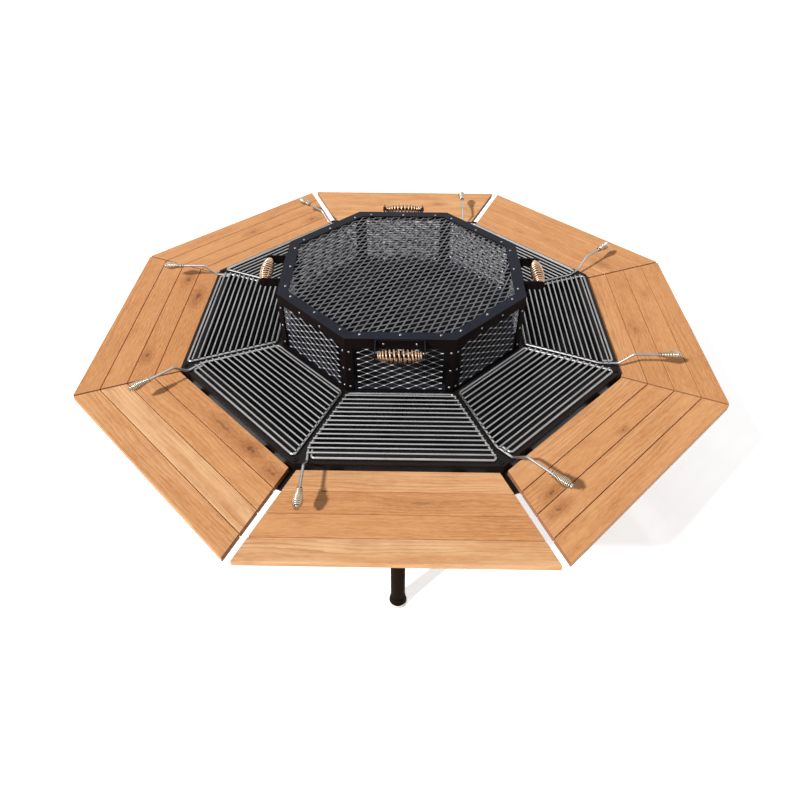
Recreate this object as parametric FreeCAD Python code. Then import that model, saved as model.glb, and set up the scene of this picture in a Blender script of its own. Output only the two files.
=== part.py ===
import FreeCAD, Part
import math
import os

# Eight-sided fire pit table with grill grates round a lift-off spark guard.
# Millimetres, +Z up. The origin is on the floor, under the middle of the fire.
# Every side is drawn once as the front side and turned about Z for the others.

Vector = FreeCAD.Vector
UP = Vector(0, 0, 1)

SIDE_NAMES = ("front", "front_right", "right", "back_right", "back", "back_left", "left", "front_left")
SIDES = len(SIDE_NAMES)
SECTOR = 360.0 / SIDES
HALF_TAN = math.tan(math.radians(SECTOR / 2))
HALF_COS = math.cos(math.radians(SECTOR / 2))
LEG_SIDES = range(0, SIDES, 2)
HANDLE_SIDES = range(0, SIDES, 2)

# Main sizes. An apothem runs from the middle of the table to the middle of a side.
TABLE_HEIGHT = 715.0
GUARD_APOTHEM = 389.0
RIM_APOTHEM = 694.0
SEAT_GAP = 0.3

# Table boards
PLANK_COUNT = 4
PLANK_WIDTH = 72.5
PLANK_GAP = 2.4
PLANK_THICKNESS = 18.0
PLANK_EDGE_RADIUS = 1.5
RIM_TO_BOARD = 9.0
WIDE_SEAM = 24.0
NARROW_SEAM = 6.0
WIDE_SEAM_SIDES = ("front", "back")

# Arms, brackets and screws under the boards
ARM_OFFSET = 170.0
ARM_WIDTH = 40.0
ARM_DEPTH = 34.0
ARM_THICKNESS = 4.0
ARM_SETBACK = 15.0
ARM_RIB_SETBACK = 45.0
BRACKET_THICKNESS = 6.0
BRACKET_HALF_WIDTH = 45.0
BRACKET_REACH = 71.0
BRACKET_SCREW_INSET = 22.0
SCREW_DIAMETER = 4.8
SCREW_HEAD_DIAMETER = 9.0
SCREW_HEAD_HEIGHT = 3.5
SCREW_BITE = 11.0
SCREW_CLEARANCE = 0.1

# Grate frame: outer ring, spokes and inner ring
FRAME_RISE = 17.0
FRAME_THICKNESS = 6.0
FRAME_RING_WIDTH = 50.0
SPOKE_WIDTH = 28.0
SPOKE_TO_GUARD = 6.0
INNER_RING_INSIDE = 34.0
INNER_RING_OUTSIDE = 19.0

# Rim and fire bowl
RIM_THICKNESS = 4.0
RIM_WEB_DEPTH = 64.0
BOWL_SHEET = 3.0
BOWL_DEPTH = 200.0
BOWL_FLOOR_APOTHEM = 400.0
BOWL_TO_RIM = 4.0
FRAME_BOLT_INSET = 14.0
BOLT_DIAMETER = 8.0
BOLT_HEAD_DIAMETER = 14.0
BOLT_HEAD_HEIGHT = 4.4
BOLT_SOCKET_WIDTH = 5.0
BOLT_SOCKET_DEPTH = 2.5
BOLT_CLEARANCE = 0.4
NUT_WIDTH = 13.0
NUT_HEIGHT = 6.5
NUT_CLEARANCE = 0.1

# Legs and levelling feet
LEG_DIAMETER = 48.3
LEG_WALL = 3.0
LEG_TO_WEB = 0.4
COLLAR_DIAMETER = 58.0
COLLAR_NECK_DIAMETER = 51.0
COLLAR_HEIGHT = 27.0
COLLAR_SKIRT = 4.0
COLLAR_PLUG_LENGTH = 30.0
COLLAR_PLUG_CLEARANCE = 0.2
FOOT_DIAMETER = 62.0
FOOT_HEIGHT = 15.0
FOOT_EDGE_RADIUS = 2.0
STUD_DIAMETER = 16.0
STUD_LENGTH = 52.0
STUD_CLEARANCE = 0.3

# Spark guard
GUARD_HEIGHT = 201.0
GUARD_SHEET = 3.0
GUARD_TOP_FLANGE = 34.0
GUARD_SIDE_FLANGE = 34.0
GUARD_BASE_WIDTH = 34.0
POST_FLANGE = 23.0
MESH_THICKNESS = 2.0
MESH_LONG = 49.0
MESH_SHORT = 22.8
MESH_STRAND = 4.0
MESH_BORDER = 6.0
MESH_CLEARANCE = 1.0
TOP_MESH_TURN = 45.0

# Guard rivets
RIVET_DIAMETER = 4.0
RIVET_HEAD_DIAMETER = 8.0
RIVET_HEAD_HEIGHT = 2.2
RIVET_TAIL_DIAMETER = 6.4
RIVET_TAIL_HEIGHT = 1.5
RIVET_CLEARANCE = 0.1
TOP_RIVET_INSET = 22.0
TOP_RIVET_SPACING = 118.0
SIDE_RIVET_OFFSET = 48.0
POST_RIVET_END = 16.0
POST_RIVET_COUNT = 3

# Guard handles
HANDLE_WIDTH = 145.0
HANDLE_HEIGHT = 30.0
HANDLE_SHEET = 3.0
HANDLE_STANDOFF = 57.0
HANDLE_ROD_DIAMETER = 10.0
HANDLE_ROD_CLEARANCE = 0.2
HANDLE_ROD_HEAD_DIAMETER = 16.0
HANDLE_ROD_HEAD_LENGTH = 4.0
SPRING_WIRE = 5.0
SPRING_TURNS = 10
SPRING_DIAMETER = 42.0
SPRING_CLEARANCE = 1.5

# Grates
GRATE_ROD = 8.0
GRATE_BAR = 6.0
GRATE_BARS = 14
GRATE_WELD = 1.0
GRATE_TO_GUARD = 22.0
GRATE_TO_RIM_EDGE = 16.0
GRATE_BAR_INSET = 14.5
GRATE_SIDE_GAP = 9.0
GRATE_HANDLE_GAP = 13.0
GRATE_BAR_OVERHANG = 2.0
GRATE_CORNER_RADIUS = 9.0
GRATE_STUB_GAP = 11.0

# Grate handles
GRIP_ROD_BEND = 58.0
GRIP_ROD_BEND_RADIUS = 40.0
GRIP_ROD_STEP = 42.0
GRIP_ROD_STEP_RADIUS = 20.0
GRIP_HEIGHT = 58.0
GRIP_REACH = 81.0
GRIP_LENGTH = 64.0
GRIP_WIRE = 4.0
GRIP_TURNS = 7
GRIP_DIAMETER = 28.0
GRIP_CLEARANCE = 0.8
GRIP_COLLAR_DIAMETER = 14.0
GRIP_COLLAR_LENGTH = 2.0

# Sizes that follow from those above
BOARD_BOTTOM = TABLE_HEIGHT - PLANK_THICKNESS
BOARD_INNER = RIM_APOTHEM + RIM_TO_BOARD
BOARD_OUTER = BOARD_INNER + PLANK_COUNT * PLANK_WIDTH + (PLANK_COUNT - 1) * PLANK_GAP
FRAME_TOP = TABLE_HEIGHT + FRAME_RISE
FRAME_BOTTOM = FRAME_TOP - FRAME_THICKNESS
INNER_RING_BOTTOM = FRAME_BOTTOM - FRAME_THICKNESS
LEDGE_TOP = FRAME_BOTTOM - BOWL_SHEET
LEDGE_BOTTOM = LEDGE_TOP - RIM_THICKNESS
WEB_INNER = RIM_APOTHEM - RIM_THICKNESS
LEG_APOTHEM = WEB_INNER - LEG_TO_WEB - LEG_DIAMETER / 2
LEDGE_INNER = LEG_APOTHEM - LEG_DIAMETER / 2
BOWL_TOP_APOTHEM = LEDGE_INNER - BOWL_TO_RIM
BOWL_FLOOR = LEDGE_TOP - BOWL_DEPTH
BOWL_SLOPE = (BOWL_TOP_APOTHEM - BOWL_FLOOR_APOTHEM) / (BOWL_DEPTH - BOWL_SHEET)
BOWL_WALL = BOWL_SHEET * math.sqrt(1 + BOWL_SLOPE * BOWL_SLOPE)
BOLT_RADIUS = RIM_APOTHEM / HALF_COS - FRAME_BOLT_INSET
LEG_BOTTOM = FOOT_HEIGHT + SEAT_GAP + COLLAR_HEIGHT
GUARD_BOTTOM = FRAME_BOTTOM + SEAT_GAP
GUARD_TOP = GUARD_BOTTOM + GUARD_HEIGHT
FLANGE_BOTTOM = GUARD_TOP - GUARD_SIDE_FLANGE
MESH_OUTER = GUARD_APOTHEM - GUARD_SHEET
MESH_INNER = MESH_OUTER - MESH_THICKNESS
POST_BOTTOM = GUARD_BOTTOM + GUARD_SHEET
FLANGE_MIDDLE = GUARD_TOP - GUARD_SIDE_FLANGE / 2
HANDLE_AXIS = GUARD_APOTHEM + HANDLE_STANDOFF
GRATE_INNER = GUARD_APOTHEM + GRATE_TO_GUARD
GRATE_OUTER = RIM_APOTHEM - GRATE_TO_RIM_EDGE
GRATE_ROD_Z = FRAME_TOP + SEAT_GAP + GRATE_ROD / 2
GRATE_BAR_Z = GRATE_ROD_Z + (GRATE_ROD + GRATE_BAR) / 2 - GRATE_WELD
GRIP_BEND_APOTHEM = RIM_APOTHEM - GRIP_ROD_BEND
GRIP_T = GRATE_HANDLE_GAP / HALF_COS - GRIP_BEND_APOTHEM * HALF_TAN
GRIP_Z = TABLE_HEIGHT + GRIP_HEIGHT
GRIP_STRAIGHT = RIM_APOTHEM + GRIP_ROD_STEP
GRIP_START = GRIP_STRAIGHT + GRIP_REACH
GRIP_END = GRIP_START + GRIP_LENGTH


def at(n, t, z):
    """Point on the front side: n outward from the middle, t to the right, z up."""
    return Vector(t, -n, z)


def turned(shape, side):
    """Copy of a front-side shape, turned to another side."""
    copy = shape.copy()
    copy.rotate(Vector(0, 0, 0), UP, side * SECTOR)
    return copy


def all_sides(*shapes):
    return [turned(shape, side) for shape in shapes for side in range(SIDES)]


def polygon(points):
    return Part.makePolygon(list(points) + [points[0]])


def octagon(apothem, z):
    half = apothem * HALF_TAN
    first = at(apothem, half, z)
    turns = [FreeCAD.Rotation(UP, side * SECTOR) for side in range(SIDES)]
    return polygon([turn.multVec(first) for turn in turns])


def half_length(n, end_gap):
    """Half the length of a side at n, with its ends kept off the seams."""
    return n * HALF_TAN - end_gap / HALF_COS


def side_bar(inner, outer, bottom, height, left_gap=0.0, right_gap=0.0):
    """Flat bar along the front side, its ends cut along the seams and kept off them."""
    corners = [(inner, -half_length(inner, left_gap)), (inner, half_length(inner, right_gap)),
               (outer, half_length(outer, right_gap)), (outer, -half_length(outer, left_gap))]
    return Part.Face(polygon([at(n, t, bottom) for n, t in corners])).extrude(UP * height)


def cylinder(diameter, length, base, axis=UP):
    return Part.makeCylinder(diameter / 2, length, base, axis)


def block(n_from, n_to, t_from, t_to, z_from, z_to):
    """Box on the front side between two values of n, t and z."""
    size_t = t_to - t_from
    size_n = n_to - n_from
    return Part.makeBox(size_t, size_n, z_to - z_from, at(n_to, t_from, z_from))


def seam_point(radius, across, z):
    """Point along the seam at the front side's right end, and across it."""
    along = FreeCAD.Rotation(UP, SECTOR / 2).multVec(at(1, 0, 0))
    sideways = UP.cross(along)
    return along * radius + sideways * across + UP * z


def export(name, solids):
    shape = solids[0] if len(solids) == 1 else Part.makeCompound(solids)
    shape.exportStep("parts/" + name + ".step")


# Paths and tubes

def arc_through(start, corner, end):
    """Arc from start to end whose end tangents meet at corner, at equal distances."""
    middle = (start + end) * 0.5
    half = (end - start).Length / 2
    rise = corner - middle
    angle = math.atan2(rise.Length, half)
    top = middle + rise.normalize() * (half * math.tan(angle / 2))
    return Part.Arc(start, top, end).toShape()


def rounded_path(points, radii):
    """Straight runs joined by tangent arcs, one radius for each inner point."""
    edges = []
    start = points[0]
    for before, corner, after, radius in zip(points, points[1:], points[2:], radii):
        back = (before - corner).normalize()
        ahead = (after - corner).normalize()
        cut = radius / math.tan(back.getAngle(ahead) / 2)
        arc_start = corner + back * cut
        arc_end = corner + ahead * cut
        edges.append(Part.LineSegment(start, arc_start).toShape())
        edges.append(arc_through(arc_start, corner, arc_end))
        start = arc_end
    edges.append(Part.LineSegment(start, points[-1]).toShape())
    return Part.Wire(edges)


def tube(path, diameter):
    first = path.Edges[0]
    start = first.valueAt(first.FirstParameter)
    tangent = first.tangentAt(first.FirstParameter)
    profile = Part.Wire(Part.Circle(start, tangent, diameter / 2).toShape())
    return path.makePipeShell([profile], True, False)


def biarc(start, start_way, end, end_way):
    """Two arcs that leave start and reach end along the given directions."""
    chord = end - start
    ways = start_way + end_way
    bend = 2 * (1 - start_way.dot(end_way))
    lean = chord.dot(ways)
    reach = (math.sqrt(lean * lean + bend * chord.dot(chord)) - lean) / bend
    first_corner = start + start_way * reach
    second_corner = end - end_way * reach
    joint = (first_corner + second_corner) * 0.5
    return [arc_through(start, first_corner, joint), arc_through(joint, second_corner, end)]


def least_gap(path, wire):
    """Smallest clear distance between turns of a wound tube, measured on points."""
    step = wire / 2
    points = path.discretize(Distance=step)
    apart = int(math.ceil(3 * wire / step))
    pairs = ((a, b) for i, a in enumerate(points) for b in points[i + apart:])
    return min(a.distanceToPoint(b) for a, b in pairs) - wire


def coil(name, length, turns, wire, radius_at):
    """Wound spring along +X from the origin; radius_at(u) is its middle radius from 0 to 1."""
    lead = 2.5 * wire
    small = 1e-4

    def point(u):
        angle = 2 * math.pi * turns * u
        radius = radius_at(u)
        return Vector(lead + (length - 2 * lead) * u, radius * math.cos(angle), radius * math.sin(angle))

    def way(u):
        return (point(u + small) - point(u - small)).normalize()

    along = Vector(1, 0, 0)
    inlet = Vector(wire, 0, -radius_at(0))
    outlet = Vector(length - wire, 0, radius_at(1))
    stations = [(inlet, along)]
    stations += [(point(i / (2 * turns)), way(i / (2 * turns))) for i in range(2 * turns + 1)]
    stations += [(outlet, along)]
    edges = [Part.LineSegment(inlet - along * wire, inlet).toShape()]
    for (start, start_way), (end, end_way) in zip(stations, stations[1:]):
        edges += biarc(start, start_way, end, end_way)
    edges.append(Part.LineSegment(outlet, outlet + along * wire).toShape())
    path = Part.Wire(edges)
    print(name, "least gap between turns: %.2f mm" % least_gap(path, wire))
    return tube(path, wire)


# Table boards and what carries them

def plank_inner(index):
    return BOARD_INNER + index * (PLANK_WIDTH + PLANK_GAP)


def plank_middle(index):
    return plank_inner(index) + PLANK_WIDTH / 2


def seam_gap(side):
    """Gap between a side's board and the next one, wide beside the front and back boards."""
    neighbours = (SIDE_NAMES[side % SIDES], SIDE_NAMES[(side + 1) % SIDES])
    wide = any(name in WIDE_SEAM_SIDES for name in neighbours)
    return WIDE_SEAM if wide else NARROW_SEAM


def bracket_screw_t():
    return half_length(plank_middle(0), WIDE_SEAM / 2) - BRACKET_SCREW_INSET


def plank_screw_ts(index):
    ts = [-ARM_OFFSET, ARM_OFFSET]
    if index == 0:
        ts += [-bracket_screw_t(), bracket_screw_t()]
    return ts


def plank(index, left_gap, right_gap):
    inner = plank_inner(index)
    body = side_bar(inner, inner + PLANK_WIDTH, BOARD_BOTTOM, PLANK_THICKNESS, left_gap, right_gap)
    body = body.makeFillet(PLANK_EDGE_RADIUS, body.Edges)
    hole = SCREW_DIAMETER + 2 * SCREW_CLEARANCE
    for t in plank_screw_ts(index):
        body = body.cut(cylinder(hole, SCREW_BITE + 1, at(plank_middle(index), t, BOARD_BOTTOM)))
    return body


def screw(n, t, seat_z, grip):
    """Wood screw driven upward, with its head under seat_z."""
    head = cylinder(SCREW_HEAD_DIAMETER, SCREW_HEAD_HEIGHT, at(n, t, seat_z - SCREW_HEAD_HEIGHT))
    shank = cylinder(SCREW_DIAMETER, grip + SCREW_BITE, at(n, t, seat_z))
    return head.fuse(shank).removeSplitter()


def screws():
    solids = []
    for index in range(PLANK_COUNT):
        for t in plank_screw_ts(index):
            grip = ARM_THICKNESS if abs(t) == ARM_OFFSET else BRACKET_THICKNESS
            solids.append(screw(plank_middle(index), t, BOARD_BOTTOM - grip, grip))
    return solids


def arm(t):
    """Flat bar from the rim's web out under the planks, and the rib welded under it."""
    flange_bottom = BOARD_BOTTOM - ARM_THICKNESS
    flange_end = BOARD_OUTER - ARM_SETBACK
    rib_end = BOARD_OUTER - ARM_RIB_SETBACK
    left = t - ARM_WIDTH / 2
    flange = block(RIM_APOTHEM, flange_end, left, left + ARM_WIDTH, flange_bottom, BOARD_BOTTOM)
    rib = block(RIM_APOTHEM, rib_end, left, left + ARM_THICKNESS, BOARD_BOTTOM - ARM_DEPTH, flange_bottom)
    hole = SCREW_DIAMETER + 4 * SCREW_CLEARANCE
    for index in range(PLANK_COUNT):
        flange = flange.cut(cylinder(hole, ARM_THICKNESS, at(plank_middle(index), t, flange_bottom)))
    return [flange, rib]


def corner_bracket():
    """Plate welded to the rim's corner, under the ends of two neighbouring boards."""
    tip = RIM_APOTHEM / HALF_COS
    back = tip - BRACKET_HALF_WIDTH * HALF_TAN
    bottom = BOARD_BOTTOM - BRACKET_THICKNESS
    corners = [(tip, 0), (back, BRACKET_HALF_WIDTH), (tip + BRACKET_REACH, BRACKET_HALF_WIDTH),
               (tip + BRACKET_REACH, -BRACKET_HALF_WIDTH), (back, -BRACKET_HALF_WIDTH)]
    outline = polygon([seam_point(radius, across, bottom) for radius, across in corners])
    body = Part.Face(outline).extrude(UP * BRACKET_THICKNESS)
    hole = SCREW_DIAMETER + 4 * SCREW_CLEARANCE
    near = cylinder(hole, BRACKET_THICKNESS, at(plank_middle(0), bracket_screw_t(), bottom))
    far = turned(cylinder(hole, BRACKET_THICKNESS, at(plank_middle(0), -bracket_screw_t(), bottom)), 1)
    return body.cut(near).cut(far)


# Frame, rim, bowl and bolts

def bolt_holes(bottom, height):
    """Drills for the bolts on the seams at both ends of the front side."""
    diameter = BOLT_DIAMETER + 2 * BOLT_CLEARANCE
    drill = cylinder(diameter, height, seam_point(BOLT_RADIUS, 0, bottom))
    return [drill, turned(drill, -1)]


def grate_frame():
    """Outer bar, inner bar and the spoke at the right end, for one side."""
    outer_bar = side_bar(RIM_APOTHEM - FRAME_RING_WIDTH, RIM_APOTHEM, FRAME_BOTTOM, FRAME_THICKNESS,
                         SPOKE_WIDTH / 2, SPOKE_WIDTH / 2)
    inner_bar = side_bar(GUARD_APOTHEM - INNER_RING_INSIDE, GUARD_APOTHEM + INNER_RING_OUTSIDE,
                         INNER_RING_BOTTOM, FRAME_THICKNESS)
    start = GUARD_APOTHEM / HALF_COS + SPOKE_TO_GUARD
    tip = RIM_APOTHEM / HALF_COS
    half = SPOKE_WIDTH / 2
    shoulder = tip - half * HALF_TAN
    corners = [(start, -half), (shoulder, -half), (tip, 0), (shoulder, half), (start, half)]
    outline = polygon([seam_point(radius, across, FRAME_BOTTOM) for radius, across in corners])
    spoke = Part.Face(outline).extrude(UP * FRAME_THICKNESS)
    return [outer_bar, inner_bar, spoke.cut(bolt_holes(FRAME_BOTTOM, FRAME_THICKNESS))]


def rim_ring():
    """One side of the rim: a ledge for the bowl's flange and a web hanging below it."""
    ledge = side_bar(LEDGE_INNER, RIM_APOTHEM, LEDGE_BOTTOM, RIM_THICKNESS)
    web = side_bar(WEB_INNER, RIM_APOTHEM, LEDGE_BOTTOM - RIM_WEB_DEPTH, RIM_WEB_DEPTH)
    return [ledge.cut(bolt_holes(LEDGE_BOTTOM, RIM_THICKNESS)), web]


def bowl_floor():
    return Part.Face(octagon(BOWL_FLOOR_APOTHEM, BOWL_FLOOR)).extrude(UP * BOWL_SHEET)


def bowl_side():
    """One side of the bowl: a sloping wall panel on the floor and the flange on its top edge."""
    bottom = BOWL_FLOOR + BOWL_SHEET
    half = half_length(BOWL_TOP_APOTHEM, 0)
    section = [(BOWL_FLOOR_APOTHEM - BOWL_WALL, bottom), (BOWL_FLOOR_APOTHEM, bottom),
               (BOWL_TOP_APOTHEM, LEDGE_TOP), (BOWL_TOP_APOTHEM - BOWL_WALL, LEDGE_TOP)]
    slab = Part.Face(polygon([at(n, -half, z) for n, z in section])).extrude(Vector(2 * half, 0, 0))
    corners = [(0, 0), (BOWL_TOP_APOTHEM, half), (BOWL_TOP_APOTHEM, -half)]
    sector = Part.Face(polygon([at(n, t, bottom) for n, t in corners])).extrude(UP * BOWL_DEPTH)
    wall = slab.common(sector).Solids[0]
    flange = side_bar(BOWL_TOP_APOTHEM - BOWL_WALL, WEB_INNER - BOWL_TO_RIM, LEDGE_TOP, BOWL_SHEET)
    return [wall, flange.cut(bolt_holes(LEDGE_TOP, BOWL_SHEET))]


def hexagon(centre, width):
    corner = Vector(width / 2 / math.cos(math.pi / 6), 0, 0)
    return polygon([centre + FreeCAD.Rotation(UP, 60 * i).multVec(corner) for i in range(6)])


def frame_bolt():
    """Domed socket bolt through frame, flange and ledge."""
    grip = FRAME_TOP - LEDGE_BOTTOM
    length = grip + NUT_HEIGHT + NUT_CLEARANCE
    shank = cylinder(BOLT_DIAMETER, length, seam_point(BOLT_RADIUS, 0, FRAME_TOP - length))
    head = cylinder(BOLT_HEAD_DIAMETER, BOLT_HEAD_HEIGHT, seam_point(BOLT_RADIUS, 0, FRAME_TOP))
    rim_edges = [edge for edge in head.Edges if edge.BoundBox.ZMin > FRAME_TOP]
    head = head.makeFillet(BOLT_HEAD_HEIGHT / 2, rim_edges)
    socket_bottom = FRAME_TOP + BOLT_HEAD_HEIGHT - BOLT_SOCKET_DEPTH
    socket = hexagon(seam_point(BOLT_RADIUS, 0, socket_bottom), BOLT_SOCKET_WIDTH)
    bolt = shank.fuse(head).removeSplitter()
    return bolt.cut(Part.Face(socket).extrude(UP * BOLT_SOCKET_DEPTH))


def frame_nut():
    bottom = LEDGE_BOTTOM - NUT_HEIGHT
    centre = seam_point(BOLT_RADIUS, 0, bottom)
    body = Part.Face(hexagon(centre, NUT_WIDTH)).extrude(UP * NUT_HEIGHT)
    return body.cut(cylinder(BOLT_DIAMETER + 2 * NUT_CLEARANCE, NUT_HEIGHT, centre))


# Legs and feet

def leg():
    base = at(LEG_APOTHEM, 0, LEG_BOTTOM)
    length = LEDGE_BOTTOM - LEG_BOTTOM
    return cylinder(LEG_DIAMETER, length, base).cut(cylinder(LEG_DIAMETER - 2 * LEG_WALL, length, base))


def collar():
    """Flared end piece plugged into the leg, bored for the foot's stud."""
    bottom = LEG_BOTTOM - COLLAR_HEIGHT
    plug_radius = LEG_DIAMETER / 2 - LEG_WALL - COLLAR_PLUG_CLEARANCE
    bore = STUD_DIAMETER / 2 + STUD_CLEARANCE
    plug_top = LEG_BOTTOM + COLLAR_PLUG_LENGTH
    profile = [(bore, bottom), (COLLAR_DIAMETER / 2, bottom), (COLLAR_DIAMETER / 2, bottom + COLLAR_SKIRT),
               (COLLAR_NECK_DIAMETER / 2, LEG_BOTTOM), (plug_radius, LEG_BOTTOM), (plug_radius, plug_top),
               (bore, plug_top)]
    outline = polygon([at(LEG_APOTHEM, radius, z) for radius, z in profile])
    return Part.Face(outline).revolve(at(LEG_APOTHEM, 0, 0), UP, 360)


def foot():
    pad = cylinder(FOOT_DIAMETER, FOOT_HEIGHT, at(LEG_APOTHEM, 0, 0))
    rim_edges = [edge for edge in pad.Edges if edge.Length > FOOT_HEIGHT * 2]
    pad = pad.makeFillet(FOOT_EDGE_RADIUS, rim_edges)
    return pad.fuse(cylinder(STUD_DIAMETER, STUD_LENGTH, at(LEG_APOTHEM, 0, FOOT_HEIGHT))).removeSplitter()


# Spark guard

def top_rivet_points():
    return [(GUARD_APOTHEM - TOP_RIVET_INSET, t) for t in (-TOP_RIVET_SPACING, 0, TOP_RIVET_SPACING)]


def post_rivet_points():
    """Places on a side's two post flanges, as (t, z)."""
    t = GUARD_APOTHEM * HALF_TAN - POST_FLANGE / 2
    low = POST_BOTTOM + POST_RIVET_END
    step = (FLANGE_BOTTOM - POST_RIVET_END - low) / (POST_RIVET_COUNT - 1)
    return [(side * t, low + step * i) for side in (-1, 1) for i in range(POST_RIVET_COUNT)]


def flange_rivet_points():
    return [(side * SIDE_RIVET_OFFSET, FLANGE_MIDDLE) for side in (-1, 1)]


def side_holes(points, diameter, inner, outer):
    """Drills that run outward through a side's walls at (t, z) points."""
    way = at(1, 0, 0)
    return [cylinder(diameter, outer - inner, at(inner, t, z), way) for t, z in points]


def rivet(base, way, grip):
    """Domed rivet whose head sits on base and whose shank runs back along way."""
    head_radius = RIVET_HEAD_DIAMETER / 2
    ball = (head_radius ** 2 + RIVET_HEAD_HEIGHT ** 2) / (2 * RIVET_HEAD_HEIGHT)
    slant = math.asin(head_radius / ball) / 2
    dome = Vector(ball * math.sin(slant), 0, RIVET_HEAD_HEIGHT - ball + ball * math.cos(slant))
    crown = Vector(0, 0, RIVET_HEAD_HEIGHT)
    edges = [Part.Arc(crown, dome, Vector(head_radius, 0, 0)).toShape()]
    corners = [(head_radius, 0), (RIVET_DIAMETER / 2, 0), (RIVET_DIAMETER / 2, -grip),
               (RIVET_TAIL_DIAMETER / 2, -grip), (RIVET_TAIL_DIAMETER / 2, -grip - RIVET_TAIL_HEIGHT),
               (0, -grip - RIVET_TAIL_HEIGHT)]
    points = [Vector(radius, 0, z) for radius, z in corners] + [crown]
    edges += [Part.LineSegment(a, b).toShape() for a, b in zip(points, points[1:])]
    body = Part.Face(Part.Wire(edges)).revolve(Vector(0, 0, 0), UP, 360)
    body.Placement = FreeCAD.Placement(base, FreeCAD.Rotation(UP, way))
    return body


def guard_rivets():
    outward = at(1, 0, 0)
    side_grip = GUARD_SHEET + MESH_THICKNESS
    solids = []
    for side in range(SIDES):
        extra = HANDLE_SHEET if side in HANDLE_SIDES else 0
        group = [rivet(at(n, t, GUARD_TOP), UP, side_grip) for n, t in top_rivet_points()]
        group += [rivet(at(GUARD_APOTHEM, t, z), outward, side_grip) for t, z in post_rivet_points()]
        group += [rivet(at(GUARD_APOTHEM + extra, t, z), outward, side_grip + extra)
                  for t, z in flange_rivet_points()]
        solids += [turned(solid, side) for solid in group]
    return solids


def guard_top_ring():
    """One side of the guard's ring: a flat bar on top and a flange below its outer edge."""
    top_bottom = GUARD_TOP - GUARD_SHEET
    top = side_bar(GUARD_APOTHEM - GUARD_TOP_FLANGE, GUARD_APOTHEM, top_bottom, GUARD_SHEET)
    flange = side_bar(MESH_OUTER, GUARD_APOTHEM, FLANGE_BOTTOM, GUARD_SIDE_FLANGE - GUARD_SHEET)
    hole = RIVET_DIAMETER + 2 * RIVET_CLEARANCE
    top = top.cut([cylinder(hole, GUARD_SHEET, at(n, t, top_bottom)) for n, t in top_rivet_points()])
    flange = flange.cut(side_holes(flange_rivet_points(), hole, MESH_OUTER, GUARD_APOTHEM))
    return [top, flange]


def guard_base_bar():
    return side_bar(GUARD_APOTHEM - GUARD_BASE_WIDTH, GUARD_APOTHEM, GUARD_BOTTOM, GUARD_SHEET)


def guard_post():
    """Bent strip round the corner at the front side's right end."""
    height = FLANGE_BOTTOM - POST_BOTTOM
    half = GUARD_APOTHEM * HALF_TAN
    edge = half - POST_FLANGE
    near = [at(MESH_OUTER, edge, POST_BOTTOM), at(GUARD_APOTHEM, edge, POST_BOTTOM)]
    turn = FreeCAD.Rotation(UP, SECTOR)
    far = [turn.multVec(at(n, -edge, POST_BOTTOM)) for n in (GUARD_APOTHEM, MESH_OUTER)]
    corner = at(GUARD_APOTHEM, half, POST_BOTTOM)
    inner_corner = at(MESH_OUTER, MESH_OUTER * HALF_TAN, POST_BOTTOM)
    body = Part.Face(polygon(near + [corner] + far + [inner_corner])).extrude(UP * height)
    hole = RIVET_DIAMETER + 2 * RIVET_CLEARANCE
    drills = side_holes(post_rivet_points(), hole, MESH_OUTER, GUARD_APOTHEM)
    return body.cut(drills + [turned(drill, 1) for drill in drills])


def diamond_holes(reach, inside, rivets):
    """Diamond outlines of expanded metal as (x, y) lists, in rows across the sheet."""
    side = math.hypot(MESH_LONG, MESH_SHORT) / 2
    shrink = 1 - MESH_STRAND * side / (MESH_LONG * MESH_SHORT / 2)
    half_long = shrink * MESH_LONG / 2
    half_short = shrink * MESH_SHORT / 2
    keep_off = RIVET_TAIL_DIAMETER + 2 * RIVET_CLEARANCE
    rows = int(reach / MESH_SHORT) + 1
    columns = int(reach / MESH_LONG) + 1
    outlines = []
    for row in range(-2 * rows, 2 * rows + 1):
        for column in range(-columns, columns + 1):
            x = (column + (row % 2) / 2) * MESH_LONG
            y = row * MESH_SHORT / 2
            corners = [(x + half_long, y), (x, y - half_short), (x - half_long, y), (x, y + half_short)]
            clear = all(abs(x - a) / (half_long + keep_off) + abs(y - b) / (half_short + keep_off) > 1
                        for a, b in rivets)
            if clear and all(inside(a, b) for a, b in corners):
                outlines.append(corners)
    return outlines


def guard_top_mesh():
    bottom = GUARD_TOP - GUARD_SHEET - MESH_THICKNESS
    apothem = MESH_INNER - MESH_CLEARANCE
    angle = math.radians(TOP_MESH_TURN)

    def on_sheet(x, y):
        return (x * math.cos(angle) - y * math.sin(angle), x * math.sin(angle) + y * math.cos(angle))

    def inside(x, y):
        ways = [math.radians(side * SECTOR) for side in range(SIDES)]
        return all(x * math.cos(way) + y * math.sin(way) < apothem - MESH_BORDER for way in ways)

    rivet_points = [FreeCAD.Rotation(UP, side * SECTOR).multVec(at(n, t, 0))
                    for side in range(SIDES) for n, t in top_rivet_points()]
    to_lattice = FreeCAD.Rotation(UP, -TOP_MESH_TURN)
    rivets = [to_lattice.multVec(point) for point in rivet_points]
    outlines = diamond_holes(apothem, inside, [(point.x, point.y) for point in rivets])
    wires = [octagon(apothem, bottom)]
    for corners in outlines:
        wires.append(polygon([Vector(*on_sheet(x, y), bottom) for x, y in corners]))
    hole = RIVET_DIAMETER / 2 + RIVET_CLEARANCE
    for point in rivet_points:
        wires.append(Part.Wire(Part.Circle(point + UP * bottom, -UP, hole).toShape()))
    return Part.Face(wires).extrude(UP * MESH_THICKNESS)


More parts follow.
